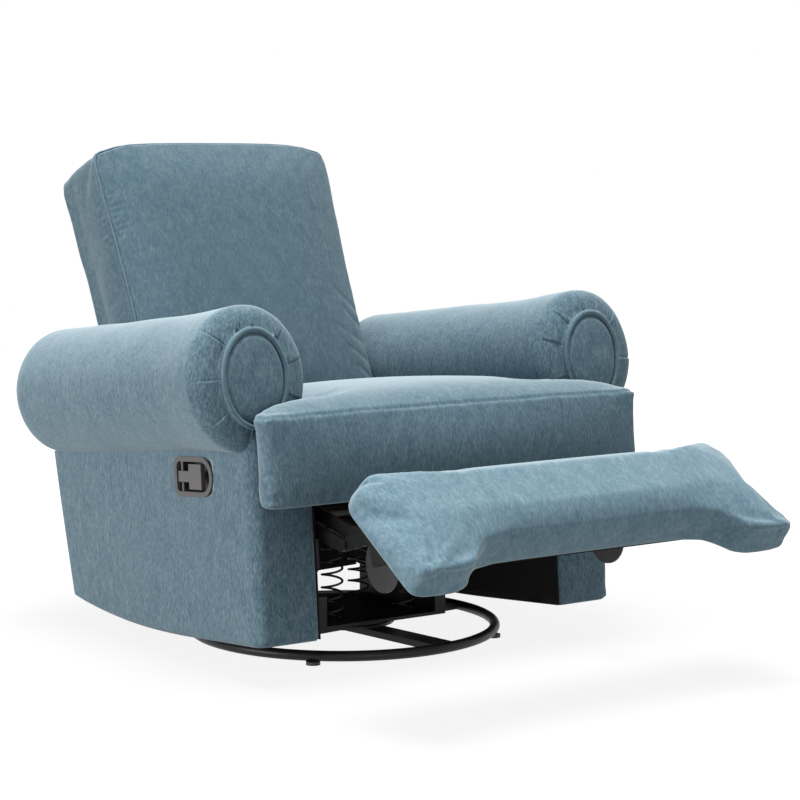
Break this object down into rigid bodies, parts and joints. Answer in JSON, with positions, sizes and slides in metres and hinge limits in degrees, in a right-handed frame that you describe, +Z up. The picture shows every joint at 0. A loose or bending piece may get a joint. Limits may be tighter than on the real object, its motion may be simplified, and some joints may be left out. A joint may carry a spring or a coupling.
{
  "type": "swivel rocker recliner",
  "caption": "Upholstered rolled-arm recliner that swivels and rocks on a ring base, with a reclining back, a fold-out footrest on links and a side release paddle.",
  "frame": {"origin": "on the floor, under the middle of the overall box", "axes": "+Z up, the chair faces -Y, the release paddle is on the -X side"},
  "size_m": [0.942, 1.4028, 0.9186],
  "materials": {
    "fabric": "napped steel-blue upholstery velvet",
    "piping": "self-piping in the same cloth",
    "lining": "black lining cloth",
    "black_steel": "satin black powder coat",
    "grey_steel": "zinc plated",
    "spring": "oiled spring steel",
    "black_plastic": "moulded black",
    "grey_plastic": "moulded warm dark grey",
    "board": "plywood"
  },
  "bodies": {
    "base": {"base_ring": "black_steel", "base_cross": "black_steel", "lower_bearing": "black_steel", "king_pin": "grey_steel", "glide_1": "black_plastic", "glide_2": "black_plastic", "glide_3": "black_plastic", "glide_4": "black_plastic"},
    "rocker": {"upper_bearing": "grey_steel", "rocker_base": "black_steel", "rocker_spring_front_left": "spring", "rocker_spring_front_right": "spring", "rocker_spring_rear_left": "spring", "rocker_spring_rear_right": "spring"},
    "chair": {"crossbar_front": "black_steel", "crossbar_rear": "black_steel", "seat_deck": "board", "seat_cushion": "fabric", "handle_cup": "grey_plastic", "handle_pin": "grey_steel", "rocker_cam_left": "black_steel", "rocker_cam_right": "black_steel", "seat_rail_left": "black_steel", "seat_rail_right": "black_steel", "side_box_left": "fabric", "side_box_right": "fabric", "inner_lining_left": "lining", "inner_lining_right": "lining", "arm_roll_left": "fabric", "arm_roll_right": "fabric", "arm_facing_left": "fabric", "arm_facing_right": "fabric", "arm_welt_left": "piping", "arm_welt_right": "piping", "rear_apron": "lining", "rear_gusset": "lining"},
    "paddle": {"handle_paddle": "grey_plastic"},
    "back": {"back_cushion": "fabric", "back_panel": "fabric", "back_bracket_left": "black_steel", "back_bracket_right": "black_steel"},
    "front_links": {"front_link_left": "black_steel", "front_link_right": "black_steel", "torque_tube": "black_steel"},
    "foot_links": {"foot_link_left": "black_steel", "foot_link_right": "black_steel", "guard_disc_left": "black_plastic", "guard_disc_right": "black_plastic"},
    "cross_links": {"cross_link_left": "black_steel", "cross_link_right": "black_steel"},
    "footrest": {"footrest_pad": "fabric", "footrest_board": "lining", "footrest_bracket_left": "black_steel", "footrest_bracket_right": "black_steel"}
  },
  "joints": [
    {"name": "swivel", "type": "hinge", "parent": "base", "child": "rocker", "pos_m": [0, 0.09048, 0.0304], "axis": [0, 0, 1], "continuous": true},
    {"name": "rock", "type": "hinge", "parent": "rocker", "child": "chair", "pos_m": [0, 0.09048, 0.24], "axis": [1, 0, 0], "range_deg": [-5, 7], "stiffness_Nm_per_rad": 900, "deforming": ["rocker_spring_front_left", "rocker_spring_front_right", "rocker_spring_rear_left", "rocker_spring_rear_right"]},
    {"name": "recline", "type": "hinge", "parent": "chair", "child": "back", "pos_m": [0, 0.37631, 0.23708], "axis": [-1, 0, 0], "range_deg": [0, 30], "deforming": ["rear_gusset"]},
    {"name": "footrest_fold", "type": "hinge", "parent": "chair", "child": "front_links", "pos_m": [0, -0.07696, 0.27673], "axis": [1, 0, 0], "range_deg": [0, 81.44]},
    {"name": "foot_link_fold", "type": "hinge", "parent": "front_links", "child": "foot_links", "pos_m": [0, -0.27746, 0.24192], "axis": [1, 0, 0], "range_deg": [-117.34, 0.5]},
    {"name": "footrest_turn", "type": "hinge", "parent": "foot_links", "child": "footrest", "pos_m": [0, -0.49194, 0.30652], "axis": [1, 0, 0], "range_deg": [-0.5, 88.41]},
    {"name": "cross_link_fold", "type": "hinge", "parent": "chair", "child": "cross_links", "pos_m": [0, -0.13701, 0.29202], "axis": [1, 0, 0], "range_deg": [-0.5, 90.48]},
    {"name": "release_pull", "type": "hinge", "parent": "chair", "child": "paddle", "pos_m": [-0.3853, 0.02023, 0.33549], "axis": [0, -0.0872, -0.9962], "range_deg": [0, 30], "stiffness_Nm_per_rad": 0.8, "springref_deg": -11.46}
  ],
  "couplings": [
    {"joint": "foot_link_fold", "follows": "footrest_fold", "ratio": -1.4348},
    {"joint": "footrest_turn", "follows": "footrest_fold", "ratio": 1.0795},
    {"joint": "cross_link_fold", "follows": "footrest_fold", "ratio": 1.105}
  ]
}
